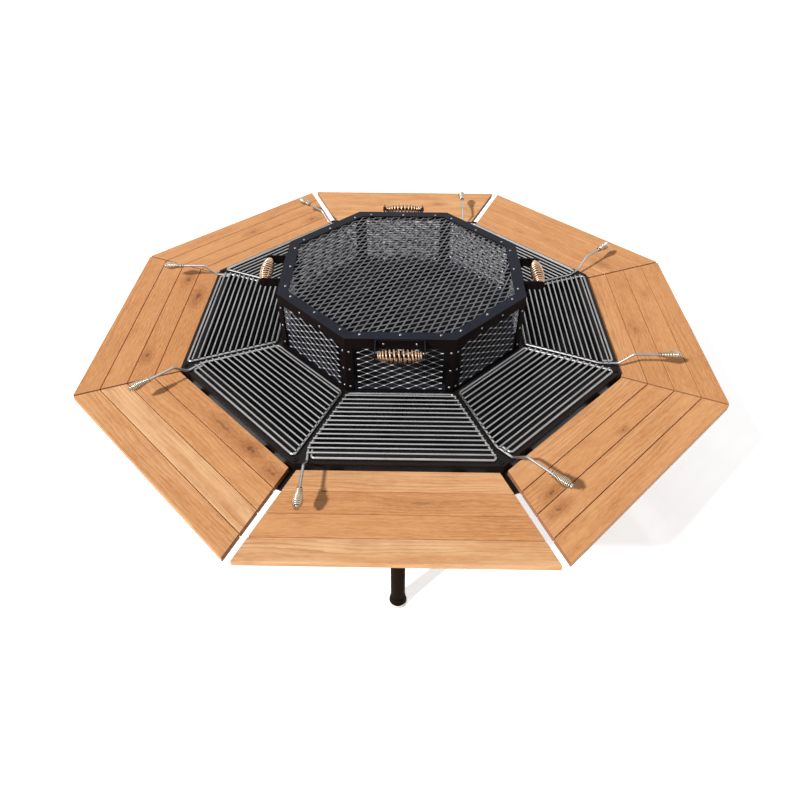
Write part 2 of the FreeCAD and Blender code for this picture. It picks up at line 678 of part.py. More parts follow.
def guard_side_mesh():
    """Front mesh panel, standing between the base ring and the top flange."""
    top = GUARD_TOP - GUARD_SHEET
    half = MESH_INNER * HALF_TAN - MESH_CLEARANCE
    middle = (POST_BOTTOM + top) / 2
    half_height = (top - POST_BOTTOM) / 2

    def inside(x, y):
        return abs(x) < half - MESH_BORDER and abs(y) < half_height - MESH_BORDER

    places = post_rivet_points() + flange_rivet_points()
    outlines = diamond_holes(half, inside, [(t, z - middle) for t, z in places])
    frame = [(-half, -half_height), (half, -half_height), (half, half_height), (-half, half_height)]
    wires = [polygon([at(MESH_INNER, t, middle + z) for t, z in frame])]
    wires += [polygon([at(MESH_INNER, x, middle + y) for x, y in corners]) for corners in outlines]
    hole = RIVET_DIAMETER / 2 + RIVET_CLEARANCE
    wires += [Part.Wire(Part.Circle(at(MESH_INNER, t, z), at(-1, 0, 0), hole).toShape()) for t, z in places]
    return Part.Face(wires).extrude(at(MESH_THICKNESS, 0, 0))


# Guard handles

def handle_bracket():
    """Plate on the guard's flange with an ear at each end for the grip's rod."""
    half = HANDLE_WIDTH / 2
    low = FLANGE_MIDDLE - HANDLE_HEIGHT / 2
    high = FLANGE_MIDDLE + HANDLE_HEIGHT / 2
    plate = block(GUARD_APOTHEM, GUARD_APOTHEM + HANDLE_SHEET, -half, half, low, high)
    hole = RIVET_DIAMETER + 2 * RIVET_CLEARANCE
    plate = plate.cut(side_holes(flange_rivet_points(), hole, GUARD_APOTHEM, GUARD_APOTHEM + HANDLE_SHEET))
    ears = []
    for t in (-half, half - HANDLE_SHEET):
        tip = HANDLE_AXIS + HANDLE_HEIGHT / 2
        runs = [(at(HANDLE_AXIS, t, low), at(GUARD_APOTHEM, t, low)),
                (at(GUARD_APOTHEM, t, low), at(GUARD_APOTHEM, t, high)),
                (at(GUARD_APOTHEM, t, high), at(HANDLE_AXIS, t, high))]
        edges = [Part.LineSegment(a, b).toShape() for a, b in runs]
        edges.append(Part.Arc(runs[2][1], at(tip, t, FLANGE_MIDDLE), runs[0][0]).toShape())
        ears.append(Part.Face(Part.Wire(edges)).extrude(Vector(HANDLE_SHEET, 0, 0)))
    bore = HANDLE_ROD_DIAMETER + 2 * HANDLE_ROD_CLEARANCE
    drill = cylinder(bore, HANDLE_WIDTH, at(HANDLE_AXIS, -half, FLANGE_MIDDLE), Vector(1, 0, 0))
    return plate.fuse(ears).removeSplitter().cut(drill)


def handle_rod():
    along = Vector(1, 0, 0)
    half = HANDLE_WIDTH / 2
    rod = cylinder(HANDLE_ROD_DIAMETER, HANDLE_WIDTH, at(HANDLE_AXIS, -half, FLANGE_MIDDLE), along)
    end = at(HANDLE_AXIS, half, FLANGE_MIDDLE)
    head = cylinder(HANDLE_ROD_HEAD_DIAMETER, HANDLE_ROD_HEAD_LENGTH, end, along)
    far_head = head.translated(along * -(HANDLE_WIDTH + HANDLE_ROD_HEAD_LENGTH))
    return rod.fuse([head, far_head]).removeSplitter()


def handle_spring():
    """Barrel-shaped spring round the rod, from ear to ear."""
    length = HANDLE_WIDTH - 2 * HANDLE_SHEET
    narrow = HANDLE_ROD_DIAMETER / 2 + SPRING_CLEARANCE + SPRING_WIRE / 2
    wide = (SPRING_DIAMETER - SPRING_WIRE) / 2
    body = coil("handle spring", length, SPRING_TURNS, SPRING_WIRE,
                lambda u: narrow + (wide - narrow) * math.sin(math.pi * u))
    body.translate(at(HANDLE_AXIS, -length / 2, FLANGE_MIDDLE))
    return body


# Grates

def handle_side_t(n):
    """Middle of the rod on the handle's side: along the seam, then straight out."""
    return max(GRATE_HANDLE_GAP / HALF_COS - n * HALF_TAN, GRIP_T)


def plain_side_t(n):
    return n * HALF_TAN - GRATE_SIDE_GAP / HALF_COS


def bar_apothem(index):
    first = GRATE_INNER + GRATE_BAR_INSET
    last = GRATE_OUTER - GRATE_BAR_INSET
    return first + (last - first) * index / (GRATE_BARS - 1)


def grate_rod():
    """One bent rod: short stub, outer run, plain side, inner run, handle side and handle."""
    stub_t = GRIP_T + GRATE_STUB_GAP
    points = [at(bar_apothem(GRATE_BARS - 2), stub_t, GRATE_ROD_Z),
              at(GRATE_OUTER, stub_t, GRATE_ROD_Z),
              at(GRATE_OUTER, plain_side_t(GRATE_OUTER), GRATE_ROD_Z),
              at(GRATE_INNER, plain_side_t(GRATE_INNER), GRATE_ROD_Z),
              at(GRATE_INNER, handle_side_t(GRATE_INNER), GRATE_ROD_Z),
              at(GRIP_BEND_APOTHEM, GRIP_T, GRATE_ROD_Z),
              at(RIM_APOTHEM, GRIP_T, GRATE_ROD_Z),
              at(GRIP_STRAIGHT, GRIP_T, GRIP_Z),
              at(GRIP_END + GRIP_COLLAR_LENGTH, GRIP_T, GRIP_Z)]
    radii = [GRATE_CORNER_RADIUS] * 4
    radii += [GRIP_ROD_BEND_RADIUS, GRIP_ROD_STEP_RADIUS, GRIP_ROD_STEP_RADIUS]
    return tube(rounded_path(points, radii), GRATE_ROD)


def grate():
    parts = []
    for index in range(GRATE_BARS):
        n = bar_apothem(index)
        left = handle_side_t(n) - GRATE_BAR_OVERHANG
        right = plain_side_t(n) + GRATE_BAR_OVERHANG
        parts.append(cylinder(GRATE_BAR, right - left, at(n, left, GRATE_BAR_Z), Vector(1, 0, 0)))
    outward = at(1, 0, 0)
    for n in (GRIP_START - GRIP_COLLAR_LENGTH, GRIP_END):
        parts.append(cylinder(GRIP_COLLAR_DIAMETER, GRIP_COLLAR_LENGTH, at(n, GRIP_T, GRIP_Z), outward))
    return grate_rod().fuse(parts)


def grate_grip():
    """Teardrop spring round the rod's end, between two collars."""
    narrow = GRATE_ROD / 2 + GRIP_CLEARANCE + GRIP_WIRE / 2
    wide = (GRIP_DIAMETER - GRIP_WIRE) / 2
    body = coil("grate grip", GRIP_LENGTH, GRIP_TURNS, GRIP_WIRE,
                lambda u: narrow + (wide - narrow) * math.sin(math.pi * u * u))
    body.rotate(Vector(0, 0, 0), UP, -90)
    body.translate(at(GRIP_START, GRIP_T, GRIP_Z))
    return body


# Write one file for each sub-part

os.makedirs("parts", exist_ok=True)

export("grate_frame", all_sides(*grate_frame()))
export("rim_ring", all_sides(*rim_ring()))
export("fire_bowl", [bowl_floor()] + all_sides(*bowl_side()))
export("frame_bolts", all_sides(frame_bolt()))
export("frame_nuts", all_sides(frame_nut()))

for side, side_name in enumerate(SIDE_NAMES):
    end_gaps = (seam_gap(side - 1) / 2, seam_gap(side) / 2)
    planks = [plank(index, *end_gaps) for index in range(PLANK_COUNT)]
    export("table_board_" + side_name, [turned(solid, side) for solid in planks])
export("board_arms", all_sides(*arm(-ARM_OFFSET), *arm(ARM_OFFSET)))
export("corner_brackets", all_sides(corner_bracket()))
export("board_screws", all_sides(*screws()))

leg_solid = leg()
foot_solid = foot()
for side in LEG_SIDES:
    export("leg_" + SIDE_NAMES[side], [turned(leg_solid, side)])
    export("foot_" + SIDE_NAMES[side], [turned(foot_solid, side)])
export("leg_collars", [turned(collar(), side) for side in LEG_SIDES])

export("guard_top_ring", all_sides(*guard_top_ring()))
export("guard_base_ring", all_sides(guard_base_bar()))
export("guard_posts", all_sides(guard_post()))
export("guard_top_mesh", [guard_top_mesh()])
export("guard_side_mesh", all_sides(guard_side_mesh()))
export("guard_rivets", guard_rivets())

bracket_solid = handle_bracket()
rod_solid = handle_rod()
spring_solid = handle_spring()
for side in HANDLE_SIDES:
    export("handle_bracket_" + SIDE_NAMES[side], [turned(bracket_solid, side)])
    export("handle_rod_" + SIDE_NAMES[side], [turned(rod_solid, side)])
    export("handle_spring_" + SIDE_NAMES[side], [turned(spring_solid, side)])

grate_solid = grate()
grip_solid = grate_grip()
for side, side_name in enumerate(SIDE_NAMES):
    export("grate_" + side_name, [turned(grate_solid, side)])
    export("grate_grip_" + side_name, [turned(grip_solid, side)])
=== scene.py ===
import math
import bpy
from mathutils import Matrix, Vector


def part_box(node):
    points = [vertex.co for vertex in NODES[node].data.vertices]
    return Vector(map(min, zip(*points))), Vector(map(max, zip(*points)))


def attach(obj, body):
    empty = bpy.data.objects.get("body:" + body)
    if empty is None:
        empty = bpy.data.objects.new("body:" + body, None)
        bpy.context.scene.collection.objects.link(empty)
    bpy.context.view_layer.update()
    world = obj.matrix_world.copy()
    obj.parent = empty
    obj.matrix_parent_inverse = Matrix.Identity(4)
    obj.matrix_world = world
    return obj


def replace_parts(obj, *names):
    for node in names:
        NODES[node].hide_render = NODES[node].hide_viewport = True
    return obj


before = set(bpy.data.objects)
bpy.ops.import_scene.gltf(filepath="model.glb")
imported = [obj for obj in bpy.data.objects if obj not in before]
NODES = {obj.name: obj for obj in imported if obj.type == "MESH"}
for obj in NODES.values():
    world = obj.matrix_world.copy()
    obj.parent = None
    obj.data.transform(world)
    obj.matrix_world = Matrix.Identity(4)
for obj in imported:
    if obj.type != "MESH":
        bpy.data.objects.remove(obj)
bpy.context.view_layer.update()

# Fire pit table: looks, springs, expanded metal, light and camera. Metres, +Z up.

SIDES = ("front", "front_right", "right", "back_right", "back", "back_left", "left", "front_left")
SECTOR = 2 * math.pi / len(SIDES)
HALF_TAN = math.tan(SECTOR / 2)
HALF_COS = math.cos(SECTOR / 2)


# Node helpers

class Tree:
    """A material's node tree with short calls for the nodes used here."""

    def __init__(self, name):
        self.material = bpy.data.materials.new(name)
        self.material.use_nodes = True
        self.nodes = self.material.node_tree.nodes
        self.links = self.material.node_tree.links
        self.shader = self.nodes["Principled BSDF"]

    def set(self, node, values):
        for key, value in values.items():
            socket = node.inputs[key]
            if isinstance(value, bpy.types.NodeSocket):
                self.links.new(value, socket)
            else:
                socket.default_value = value

    def node(self, kind, values=None, **settings):
        made = self.nodes.new("ShaderNode" + kind)
        for key, value in settings.items():
            setattr(made, key, value)
        self.set(made, values or {})
        return made

    def place(self):
        return self.node("TexCoord").outputs["Object"]

    def part(self, vector, axis):
        return self.node("SeparateXYZ", {0: vector}).outputs[axis]

    def math(self, operation, a, b=0.0, c=0.0):
        return self.node("Math", {0: a, 1: b, 2: c}, operation=operation).outputs[0]

    def scaled(self, vector, scale, turn=0.0, move=(0, 0, 0)):
        values = {"Vector": vector, "Scale": scale, "Rotation": (0, 0, turn), "Location": move}
        return self.node("Mapping", values).outputs[0]

    def add(self, a, b):
        return self.node("VectorMath", {0: a, 1: b}, operation="ADD").outputs[0]

    def noise(self, vector, scale, detail, rough):
        values = {"Vector": vector, "Scale": scale, "Detail": detail, "Roughness": rough}
        return self.node("TexNoise", values).outputs["Fac"]

    def grain(self, vector, stretch, scale, detail, rough):
        """Noise drawn out along the planks."""
        return self.noise(self.scaled(vector, stretch), scale, detail, rough)

    def span(self, value, low, high, to_low=0.0, to_high=1.0):
        """Smooth step from to_low at low to to_high at high."""
        values = {"Value": value, "From Min": low, "From Max": high, "To Min": to_low, "To Max": to_high}
        return self.node("MapRange", values, interpolation_type="SMOOTHSTEP").outputs[0]

    def steps(self, value, stops):
        """Ramp without blending, from a list of (start, colour)."""
        made = self.node("ValToRGB", {"Fac": value})
        made.color_ramp.interpolation = "CONSTANT"
        elements = made.color_ramp.elements
        while len(elements) < len(stops):
            elements.new(0.5)
        for element, (position, colour) in zip(elements, stops):
            element.position = position
            element.color = (*colour, 1)
        return made.outputs["Color"]

    def mix(self, factor, a, b):
        made = self.node("Mix", data_type="RGBA")
        self.set(made, {0: factor})
        for index, value in ((6, a), (7, b)):
            if isinstance(value, bpy.types.NodeSocket):
                self.links.new(value, made.inputs[index])
            else:
                made.inputs[index].default_value = (*value, 1)
        return made.outputs[2]

    def bump(self, height, strength, distance):
        values = {"Height": height, "Strength": strength, "Distance": distance}
        self.set(self.shader, {"Normal": self.node("Bump", values).outputs[0]})


def paint(node_name, material):
    for slot in NODES[node_name].material_slots:
        slot.material = material


# Wood

BOARD_INNER = -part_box("table_board_front")[1].y
PLANK_COUNT = 4
PLANK_PITCH = 0.0749
SEAM = 0.0012
HALF_PLANK = 0.5
LIGHT_OAK = (0.82, 0.490, 0.258)
MIDDLE_OAK = (0.69, 0.335, 0.136)
DEEP_OAK = (0.56, 0.230, 0.076)
BROWN_OAK = (0.42, 0.160, 0.050)
DARK_OAK = (0.22, 0.078, 0.026)
CLOUD_OAK = (0.36, 0.130, 0.042)
KNOT_OAK = (0.115, 0.043, 0.019)
END_GRAIN = (0.30, 0.130, 0.058)

# How deep the wood of each plank is, from 0 light to 1 deep, inner plank first
PLANK_DEPTH = {"front": (0.30, 0.75, 0.60, 0.05), "front_right": (0.45, 0.65, 0.50, 0.55),
               "right": (0.62, 0.80, 0.68, 0.75), "back_right": (0.60, 0.48, 0.65, 0.55),
               "back": (0.30, 0.42, 0.30, 0.45), "back_left": (0.62, 0.68, 0.52, 0.66),
               "left": (1.00, 0.92, 0.72, 0.78), "front_left": (0.78, 0.56, 0.06, 0.42)}

# Each plank takes its grain from its own place in the noise
FIRST_NUMBER = 1.0
NUMBERS_PER_BOARD = 5.0
SHIFT_ALONG = 3.71
SHIFT_ACROSS = 0.173

# Knots: place along the board, distance from the middle of the table, half length, half width, darkness
KNOTS = {"left": ((-0.131, 0.746, 0.090, 0.034, 1.0), (-0.250, 0.806, 0.070, 0.030, 0.8),
                  (0.216, 0.830, 0.055, 0.028, 0.8)),
         "front_left": ((0.020, 0.742, 0.130, 0.034, 0.6), (0.146, 0.738, 0.080, 0.032, 1.0),
                        (0.262, 0.748, 0.070, 0.032, 0.8)),
         "right": ((-0.034, 0.804, 0.055, 0.024, 0.5), (0.180, 0.890, 0.050, 0.020, 0.3)),
         "front_right": ((0.085, 0.836, 0.036, 0.013, 0.7), (-0.253, 0.832, 0.062, 0.022, 0.9),
                         (-0.288, 0.880, 0.060, 0.024, 0.7)),
         "back_right": ((-0.278, 0.825, 0.065, 0.028, 0.7), (0.110, 0.800, 0.050, 0.022, 0.4)),
         "back_left": ((0.010, 0.880, 0.065, 0.028, 0.6), (-0.240, 0.800, 0.055, 0.024, 0.6)),
         "back": ((-0.150, 0.890, 0.060, 0.026, 0.6),),
         "front": ((0.060, 0.815, 0.150, 0.026, 0.35),)}

# A knot's cloud and heart: where they begin and where they are full, in shares of the way to its rim
KNOT_CLOUD = (1.25, 0.25)
KNOT_HEART = (0.34, 0.02)

# Curled grain round a knot: waves on the way to its rim, and where on a wave the dark begins and is full
CURL_RATE = 17.0
KNOT_CURLS = (0.1, 0.9)

# A noise makes the rim ragged: its scale, detail and roughness, its middle and how far it moves the rim
RAGGED_NOISE = (60.0, 4.0, 0.6)
NOISE_MIDDLE = 0.5
RAGGED_AMOUNT = 0.95

# Grain layers: stretch along and across the planks, then the noise's scale, detail and roughness
SWAY_GRAIN = ((0.9, 7.0, 7.0), 2.2, 3.0, 0.5)
FIGURE_GRAIN = ((1.2, 6.0, 6.0), 2.0, 2.0, 0.5)
BROAD_GRAIN = ((1.6, 16.0, 16.0), 2.0, 4.0, 0.55)
PATCH_GRAIN = ((5.0, 11.0, 11.0), 2.0, 4.0, 0.6)
FIBRE_GRAIN = ((13.0, 150.0, 150.0), 2.5, 4.0, 0.65)
STREAK_GRAIN = ((40.0, 110.0, 110.0), 1.0, 3.0, 0.55)
PORE_GRAIN = ((22.0, 420.0, 420.0), 3.0, 2.0, 0.5)
RING_STRETCH = (0.10, 1.0, 1.0)
RING_WAVE = {"Scale": 26.0, "Distortion": 2.0, "Detail": 4.0, "Detail Scale": 2.2, "Detail Roughness": 0.6}
SWAY_BEND = 0.060
KNOT_BEND = 0.022

# Tints: where a layer begins to show and where it is full, then its least and most strength if not 0 and 1
FIGURE_TINT = (0.40, 0.62, 0.12, 0.62)
BROAD_TINT = (0.38, 0.70, 0.0, 0.75)
PATCH_TINT = (0.45, 0.75, 0.0, 0.42)
RING_TINT = (0.35, 1.0)
FIBRE_TINT = (0.40, 0.68, 0.0, 0.40)
STREAK_TINT = (0.58, 0.78, 0.0, 0.24)
PORE_TINT = (0.60, 0.74)
END_TINT = (0.45, 0.90, 0.0, 0.85)
PORE_STRENGTH = 0.22
CLOUD_STRENGTH = 0.66
CURL_STRENGTH = 0.28
HEART_STRENGTH = 0.72

# Surface: roughness follows the fibres, which stand up a little, and the pores are sunk
WOOD_ROUGHNESS = (0.2, 0.8, 0.50, 0.64)
WOOD_SHEEN = 0.20
FIBRE_RELIEF = 0.35
WOOD_BUMP = (0.22, 0.0005)


def blended(low, high, share):
    return tuple(a + (b - a) * share for a, b in zip(low, high))


def wood_colour(depth):
    if depth < 0.5:
        return blended(LIGHT_OAK, MIDDLE_OAK, 2 * depth)
    return blended(MIDDLE_OAK, DEEP_OAK, 2 * depth - 1)


def knots(tree, here, plank, name):
    """Masks of one board's knots, each kept to its own plank: cloud, heart and curls."""
    ragged = tree.math("SUBTRACT", tree.noise(here, *RAGGED_NOISE), NOISE_MIDDLE)
    ragged = tree.math("MULTIPLY", ragged, RAGGED_AMOUNT)
    cloud = 0.0
    heart = 0.0
    curls = 0.0
    for along, out, length, width, dark in KNOTS[name]:
        spot = tree.scaled(here, (1 / length, 1 / width, 0), 0.0, (-along / length, out / width, 0))
        distance = tree.node("VectorMath", {0: spot}, operation="LENGTH").outputs["Value"]
        distance = tree.math("ADD", distance, ragged)
        own = math.floor((out - BOARD_INNER + SEAM) / PLANK_PITCH)
        own_plank = tree.math("MULTIPLY", tree.math("COMPARE", plank, own, HALF_PLANK), dark)
        here_cloud = tree.math("MULTIPLY", tree.span(distance, *KNOT_CLOUD), own_plank)
        here_heart = tree.math("MULTIPLY", tree.span(distance, *KNOT_HEART), own_plank)
        wave = tree.math("SINE", tree.math("MULTIPLY", distance, CURL_RATE))
        here_curls = tree.math("MULTIPLY", tree.span(wave, *KNOT_CURLS), here_cloud)
        cloud = tree.math("MAXIMUM", cloud, here_cloud)
        heart = tree.math("MAXIMUM", heart, here_heart)
        curls = tree.math("MAXIMUM", curls, here_curls)
    return cloud, heart, curls


def oak(side):
    """Oiled hardwood, grain along the planks of one board, each plank cut from its own piece."""
    name = SIDES[side]
    tree = Tree("oak_" + name)
    here = tree.scaled(tree.place(), (1, 1, 1), -side * SECTOR)
    facing = tree.scaled(tree.node("TexCoord").outputs["Normal"], (1, 1, 1), -side * SECTOR)
    outward = tree.math("MULTIPLY", tree.part(here, "Y"), -1.0)
    across = tree.math("DIVIDE", tree.math("SUBTRACT", outward, BOARD_INNER - SEAM), PLANK_PITCH)
    plank = tree.math("FLOOR", across)
    number = tree.math("ADD", plank, NUMBERS_PER_BOARD * side + FIRST_NUMBER)
    shift = tree.node("CombineXYZ", {0: tree.math("MULTIPLY", number, SHIFT_ALONG),
                                     1: tree.math("MULTIPLY", number, SHIFT_ACROSS)}).outputs[0]
    moved = tree.add(here, shift)
    cloud, heart, curls = knots(tree, here, plank, name)

    sway = tree.grain(moved, *SWAY_GRAIN)
    bend = tree.math("MULTIPLY_ADD", sway, SWAY_BEND, tree.math("MULTIPLY", cloud, KNOT_BEND))
    wavy = tree.add(tree.scaled(moved, RING_STRETCH), tree.node("CombineXYZ", {1: bend}).outputs[0])
    rings = tree.node("TexWave", {"Vector": wavy, **RING_WAVE},
                      wave_type="BANDS", bands_direction="Y", wave_profile="SAW").outputs["Fac"]
    figured = tree.span(tree.grain(moved, *FIGURE_GRAIN), *FIGURE_TINT)
    ringed = tree.math("MULTIPLY", tree.span(rings, *RING_TINT), figured)
    fibre = tree.grain(moved, *FIBRE_GRAIN)
    pores = tree.span(tree.grain(moved, *PORE_GRAIN), *PORE_TINT)

    stops = [(index / PLANK_COUNT, wood_colour(depth)) for index, depth in enumerate(PLANK_DEPTH[name])]
    colour = tree.steps(tree.math("DIVIDE", tree.math("ADD", plank, HALF_PLANK), PLANK_COUNT), stops)
    colour = tree.mix(tree.span(tree.grain(moved, *BROAD_GRAIN), *BROAD_TINT), colour, DEEP_OAK)
    colour = tree.mix(tree.span(tree.grain(moved, *PATCH_GRAIN), *PATCH_TINT), colour, BROWN_OAK)
    colour = tree.mix(ringed, colour, BROWN_OAK)
    colour = tree.mix(tree.span(fibre, *FIBRE_TINT), colour, LIGHT_OAK)
    colour = tree.mix(tree.span(tree.grain(wavy, *STREAK_GRAIN), *STREAK_TINT), colour, DARK_OAK)
    colour = tree.mix(tree.math("MULTIPLY", pores, PORE_STRENGTH), colour, DARK_OAK)
    colour = tree.mix(tree.math("MULTIPLY", cloud, CLOUD_STRENGTH), colour, CLOUD_OAK)
    colour = tree.mix(tree.math("MULTIPLY", curls, CURL_STRENGTH), colour, DARK_OAK)
    colour = tree.mix(tree.math("MULTIPLY", heart, HEART_STRENGTH), colour, KNOT_OAK)
    lengthwise = tree.math("ABSOLUTE", tree.part(facing, "X"))
    colour = tree.mix(tree.span(lengthwise, *END_TINT), colour, END_GRAIN)

    tree.set(tree.shader, {"Base Color": colour, "Roughness": tree.span(fibre, *WOOD_ROUGHNESS),
                           "Specular IOR Level": WOOD_SHEEN})
    relief = tree.math("SUBTRACT", tree.math("MULTIPLY", fibre, FIBRE_RELIEF), pores)
    tree.bump(relief, *WOOD_BUMP)
    return tree.material


# Metal and plastic

# A noise is its scale, detail and roughness. Limits are where it begins to show and where it is full.
# A spread is how far roughness goes below and above its middle. A bump is its strength and depth.
PAINT_CLOUD = (9.0, 5.0, 0.6)
PAINT_TOOTH = (900.0, 3.0, 0.6)
PAINT_RUB = (60.0, 6.0, 0.7)
RUB_LIMITS = (0.62, 0.78)
RUBBED = (0.070, 0.055, 0.048)
PAINT_SPREAD = (-0.06, 0.08)
PAINT_BUMP = (0.18, 0.0004)
FACES_UP = (0.3, 0.7)
METAL_CLOUD = (14.0, 5.0, 0.62)
METAL_STAIN = (23.0, 5.0, 0.65)
STAIN_LIMITS = (0.52, 0.72)
METAL_FINE = (4.0, 0.6)
METAL_SPREAD = (-0.07, 0.09)
METAL_BUMP = (0.12, 0.0003)
CLOUD_LIMITS = (0.3, 0.7)
GLOSS_LIMITS = (0.25, 0.75)
PAD_PALE = (0.86, 0.83, 0.80)
PAD_GREY = (0.64, 0.60, 0.57)
PAD_CLOUD = (55.0, 5.0, 0.6)
PAD_LIMITS = (0.35, 0.7)
PAD_TOOTH = (700.0, 3.0, 0.55)
PAD_ROUGHNESS = 0.55
PAD_BUMP = (0.15, 0.0004)


def black_steel(name, low, high, rough, worn, sheen, painted_side_reflection=None):
    """Black paint with a fine tooth and cloudy gloss, worn in places, and, if given, a painted reflection
    colour on faces that do not face up.
    """
    tree = Tree(name)
    here = tree.place()
    cloud = tree.noise(here, *PAINT_CLOUD)
    colour = tree.mix(tree.span(cloud, *CLOUD_LIMITS), low, high)
    if worn:
        rub = tree.span(tree.noise(here, *PAINT_RUB), *RUB_LIMITS, 0.0, worn)
        colour = tree.mix(rub, colour, RUBBED)
    # Painted reflection: faces that turn away from the sky take this colour in place of the paint's own
    if painted_side_reflection:
        rise = tree.part(tree.node("NewGeometry").outputs["Normal"], "Z")
        colour = tree.mix(tree.span(rise, *FACES_UP), painted_side_reflection, colour)
    gloss = tree.span(cloud, *GLOSS_LIMITS, rough + PAINT_SPREAD[0], rough + PAINT_SPREAD[1])
    tree.set(tree.shader, {"Base Color": colour, "Roughness": gloss, "Specular IOR Level": sheen})
    tree.bump(tree.noise(here, *PAINT_TOOTH), *PAINT_BUMP)
    return tree.material


def bare_metal(name, low, high, rough, fine, stain=None, amount=0.0, metallic=1.0):
    """Drawn or rolled metal with a fine surface and patches of heat stain."""
    tree = Tree(name)
    here = tree.place()
    cloud = tree.noise(here, *METAL_CLOUD)
    colour = tree.mix(tree.span(cloud, *CLOUD_LIMITS), low, high)
    if stain:
        stained = tree.span(tree.noise(here, *METAL_STAIN), *STAIN_LIMITS, 0.0, amount)
        colour = tree.mix(stained, colour, stain)
    gloss = tree.span(cloud, *GLOSS_LIMITS, rough + METAL_SPREAD[0], rough + METAL_SPREAD[1])
    tree.set(tree.shader, {"Base Color": colour, "Metallic": metallic, "Roughness": gloss})
    tree.bump(tree.noise(here, fine, *METAL_FINE), *METAL_BUMP)
    return tree.material


def pad_plastic():
    """Pale grey plastic, a little mottled."""
    tree = Tree("foot_pad")
    here = tree.place()
    colour = tree.mix(tree.span(tree.noise(here, *PAD_CLOUD), *PAD_LIMITS), PAD_PALE, PAD_GREY)
    tree.set(tree.shader, {"Base Color": colour, "Roughness": PAD_ROUGHNESS})
    tree.bump(tree.noise(here, *PAD_TOOTH), *PAD_BUMP)
    return tree.material


FRAME_BLACK = black_steel("frame_black", (0.0068, 0.0050, 0.0046), (0.0125, 0.0094, 0.0088),
                          rough=0.46, worn=0.25, sheen=0.11)
# The guard's bluish paint colours are a painted sky reflection on its top faces; its warm colour on vertical
# faces is a painted reflection of the wood
GUARD_BLACK = black_steel("guard_black", (0.0060, 0.0068, 0.0112), (0.0115, 0.0131, 0.0212),
                          rough=0.44, worn=0.0, sheen=0.085, painted_side_reflection=(0.0058, 0.0034, 0.0034))
LEG_BLACK = black_steel("leg_black", (0.0090, 0.0040, 0.0024), (0.0130, 0.0062, 0.0038),
                        rough=0.62, worn=0.15, sheen=0.02)
BOWL_BLACK = black_steel("bowl_black", (0.0045, 0.0042, 0.0050), (0.012, 0.0105, 0.0105),
                         rough=0.70, worn=0.35, sheen=0.05)
STAINLESS = bare_metal("grate_stainless", (0.44, 0.44, 0.447), (0.33, 0.327, 0.330),
                       rough=0.30, fine=380.0, stain=(0.27, 0.21, 0.16), amount=0.35)
MESH_STEEL = bare_metal("mesh_steel", (0.175, 0.175, 0.188), (0.112, 0.112, 0.122),
                        rough=0.50, fine=300.0, metallic=0.4)
# Painted shade: the side panels are the same steel as the top sheet, given a darker colour
SHADED_SIDE_STEEL = bare_metal("side_mesh_steel_painted_shade", (0.118, 0.118, 0.128), (0.076, 0.076, 0.084),
                        rough=0.54, fine=300.0, metallic=0.3)
# Painted highlight: the bonds are the same steel as the strands, given a near-white colour
BOND_HIGHLIGHT_STEEL = bare_metal("bond_steel_painted_highlight", (0.80, 0.80, 0.83), (0.60, 0.60, 0.62),
                        rough=0.40, fine=300.0, metallic=0.4)
BRONZE = bare_metal("spring_bronze", (0.70, 0.50, 0.35), (0.50, 0.32, 0.20),
                    rough=0.27, fine=500.0, stain=(0.22, 0.12, 0.07), amount=0.5)
PALE = bare_metal("grip_pale", (0.62, 0.54, 0.43), (0.48, 0.40, 0.30),
                  rough=0.28, fine=500.0, stain=(0.32, 0.22, 0.13), amount=0.4)
ZINC = bare_metal("fastener_zinc", (0.30, 0.30, 0.31), (0.20, 0.20, 0.205), rough=0.36, fine=600.0)
PAD = pad_plastic()

for index, side_name in enumerate(SIDES):
    paint("table_board_" + side_name, oak(index))
    paint("grate_" + side_name, STAINLESS)
for name in ("grate_frame", "rim_ring", "board_arms", "corner_brackets"):
    paint(name, FRAME_BLACK)
for name in ("guard_top_ring", "guard_base_ring", "guard_posts", "frame_bolts"):
    paint(name, GUARD_BLACK)
for name in ("frame_nuts", "board_screws", "guard_rivets"):
    paint(name, ZINC)
paint("fire_bowl", BOWL_BLACK)
paint("leg_collars", LEG_BLACK)
for side_name in SIDES[::2]:
    paint("leg_" + side_name, LEG_BLACK)
    paint("foot_" + side_name, PAD)
    paint("handle_bracket_" + side_name, GUARD_BLACK)
    paint("handle_rod_" + side_name, GUARD_BLACK)


# Shapes

def add_mesh(name, points, faces, material, body, slot, smooth=False):
    """New piece that rides with a body. Its slot argument is not used."""
    mesh = bpy.data.meshes.new(name)
    mesh.from_pydata(points, [], faces)
    mesh.update()
    if smooth:
        mesh.shade_smooth()
    mesh.materials.append(material)
    made = bpy.data.objects.new(name, mesh)
    bpy.context.scene.collection.objects.link(made)
    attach(made, body)
    return made


def swept(path, radius, around):
    """Round wire along a list of points, closed at both ends."""
    points = []
    faces = []
    ways = [(b - a).normalized() for a, b in zip(path, path[1:])]
    ways = [ways[0]] + [(a + b).normalized() for a, b in zip(ways, ways[1:])] + [ways[-1]]
    normal = ways[0].orthogonal().normalized()
    for centre, way in zip(path, ways):
        normal = (normal - way * normal.dot(way)).normalized()
        other = way.cross(normal)
        for step in range(around):
            angle = 2 * math.pi * step / around
            points.append(centre + (normal * math.cos(angle) + other * math.sin(angle)) * radius)
    for ring in range(len(path) - 1):
        for step in range(around):
            a = ring * around + step
            b = ring * around + (step + 1) % around
            faces.append((a, b, b + around, a + around))
    faces.append(tuple(reversed(range(around))))
    faces.append(tuple(range(len(points) - around, len(points))))
    return points, faces


def turned(points, side):
    """Points of the front side, turned to another side."""
    turn = Matrix.Rotation(side * SECTOR, 3, "Z")
    return [turn @ point for point in points]


# Springs: barrels on the guard's handles and teardrops on the grates' handles

STEPS_PER_TURN = 30
LEAD_STEPS = 12
LEAD_START = 0.4


